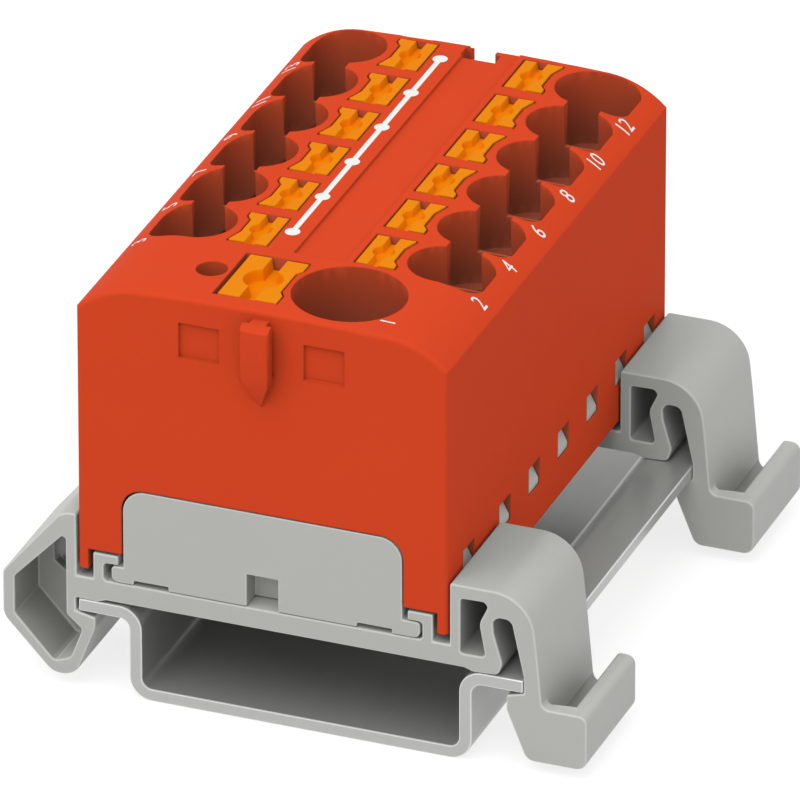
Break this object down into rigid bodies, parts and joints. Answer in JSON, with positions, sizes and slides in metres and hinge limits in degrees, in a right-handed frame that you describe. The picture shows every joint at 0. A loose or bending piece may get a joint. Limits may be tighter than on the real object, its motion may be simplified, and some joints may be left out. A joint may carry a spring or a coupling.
{
  "type": "power distribution block",
  "caption": "Push-in power distribution block with release buttons, clipped by two grey adapters onto a short top-hat rail.",
  "frame": {"origin": "rail section's flat underside, at the middle of its width and of the block's length", "axes": "+Z away from the rail's back, Y along the rail with the large entry at -Y, +X to the spring feet"},
  "size_m": [0.0461, 0.0503, 0.0341],
  "materials": {
    "red_plastic": "fine moulded, satin",
    "button_plastic": "moulded, satin",
    "grey_plastic": "moulded, satin",
    "cover_plastic": "moulded, satin",
    "rail_steel": "passivated sheet",
    "bar_metal": "tinned copper alloy",
    "spring_steel": "bright strip"
  },
  "bodies": {
    "block": {"rail_section": "rail_steel", "rail_adapter_front": "grey_plastic", "rail_adapter_rear": "grey_plastic", "housing": "red_plastic", "base_cover": "cover_plastic", "busbar": "bar_metal", "clamp_spring_1": "spring_steel", "clamp_spring_2": "spring_steel", "clamp_spring_3": "spring_steel", "clamp_spring_4": "spring_steel", "clamp_spring_5": "spring_steel", "clamp_spring_6": "spring_steel", "clamp_spring_7": "spring_steel", "clamp_spring_8": "spring_steel", "clamp_spring_9": "spring_steel", "clamp_spring_10": "spring_steel", "clamp_spring_11": "spring_steel", "clamp_spring_12": "spring_steel", "clamp_spring_13": "spring_steel"},
    "button_1": {"button_1": "button_plastic"},
    "button_2": {"button_2": "button_plastic"},
    "button_3": {"button_3": "button_plastic"},
    "button_4": {"button_4": "button_plastic"},
    "button_5": {"button_5": "button_plastic"},
    "button_6": {"button_6": "button_plastic"},
    "button_7": {"button_7": "button_plastic"},
    "button_8": {"button_8": "button_plastic"},
    "button_9": {"button_9": "button_plastic"},
    "button_10": {"button_10": "button_plastic"},
    "button_11": {"button_11": "button_plastic"},
    "button_12": {"button_12": "button_plastic"},
    "button_13": {"button_13": "button_plastic"}
  },
  "joints": [
    {"name": "press_1", "type": "slide", "parent": "block", "child": "button_1", "axis": [0, 0, -1], "range_m": [0, 0.0014], "stiffness_N_per_m": 3000, "springref_m": -0.0003, "deforming": ["clamp_spring_1"]},
    {"name": "press_2", "type": "slide", "parent": "block", "child": "button_2", "axis": [0, 0, -1], "range_m": [0, 0.0014], "stiffness_N_per_m": 2000, "springref_m": -0.0003, "deforming": ["clamp_spring_2"]},
    {"name": "press_3", "type": "slide", "parent": "block", "child": "button_3", "axis": [0, 0, -1], "range_m": [0, 0.0014], "stiffness_N_per_m": 2000, "springref_m": -0.0003, "deforming": ["clamp_spring_3"]},
    {"name": "press_4", "type": "slide", "parent": "block", "child": "button_4", "axis": [0, 0, -1], "range_m": [0, 0.0014], "stiffness_N_per_m": 2000, "springref_m": -0.0003, "deforming": ["clamp_spring_4"]},
    {"name": "press_5", "type": "slide", "parent": "block", "child": "button_5", "axis": [0, 0, -1], "range_m": [0, 0.0014], "stiffness_N_per_m": 2000, "springref_m": -0.0003, "deforming": ["clamp_spring_5"]},
    {"name": "press_6", "type": "slide", "parent": "block", "child": "button_6", "axis": [0, 0, -1], "range_m": [0, 0.0014], "stiffness_N_per_m": 2000, "springref_m": -0.0003, "deforming": ["clamp_spring_6"]},
    {"name": "press_7", "type": "slide", "parent": "block", "child": "button_7", "axis": [0, 0, -1], "range_m": [0, 0.0014], "stiffness_N_per_m": 2000, "springref_m": -0.0003, "deforming": ["clamp_spring_7"]},
    {"name": "press_8", "type": "slide", "parent": "block", "child": "button_8", "axis": [0, 0, -1], "range_m": [0, 0.0014], "stiffness_N_per_m": 2000, "springref_m": -0.0003, "deforming": ["clamp_spring_8"]},
    {"name": "press_9", "type": "slide", "parent": "block", "child": "button_9", "axis": [0, 0, -1], "range_m": [0, 0.0014], "stiffness_N_per_m": 2000, "springref_m": -0.0003, "deforming": ["clamp_spring_9"]},
    {"name": "press_10", "type": "slide", "parent": "block", "child": "button_10", "axis": [0, 0, -1], "range_m": [0, 0.0014], "stiffness_N_per_m": 2000, "springref_m": -0.0003, "deforming": ["clamp_spring_10"]},
    {"name": "press_11", "type": "slide", "parent": "block", "child": "button_11", "axis": [0, 0, -1], "range_m": [0, 0.0014], "stiffness_N_per_m": 2000, "springref_m": -0.0003, "deforming": ["clamp_spring_11"]},
    {"name": "press_12", "type": "slide", "parent": "block", "child": "button_12", "axis": [0, 0, -1], "range_m": [0, 0.0014], "stiffness_N_per_m": 2000, "springref_m": -0.0003, "deforming": ["clamp_spring_12"]},
    {"name": "press_13", "type": "slide", "parent": "block", "child": "button_13", "axis": [0, 0, -1], "range_m": [0, 0.0014], "stiffness_N_per_m": 2000, "springref_m": -0.0003, "deforming": ["clamp_spring_13"]}
  ]
}
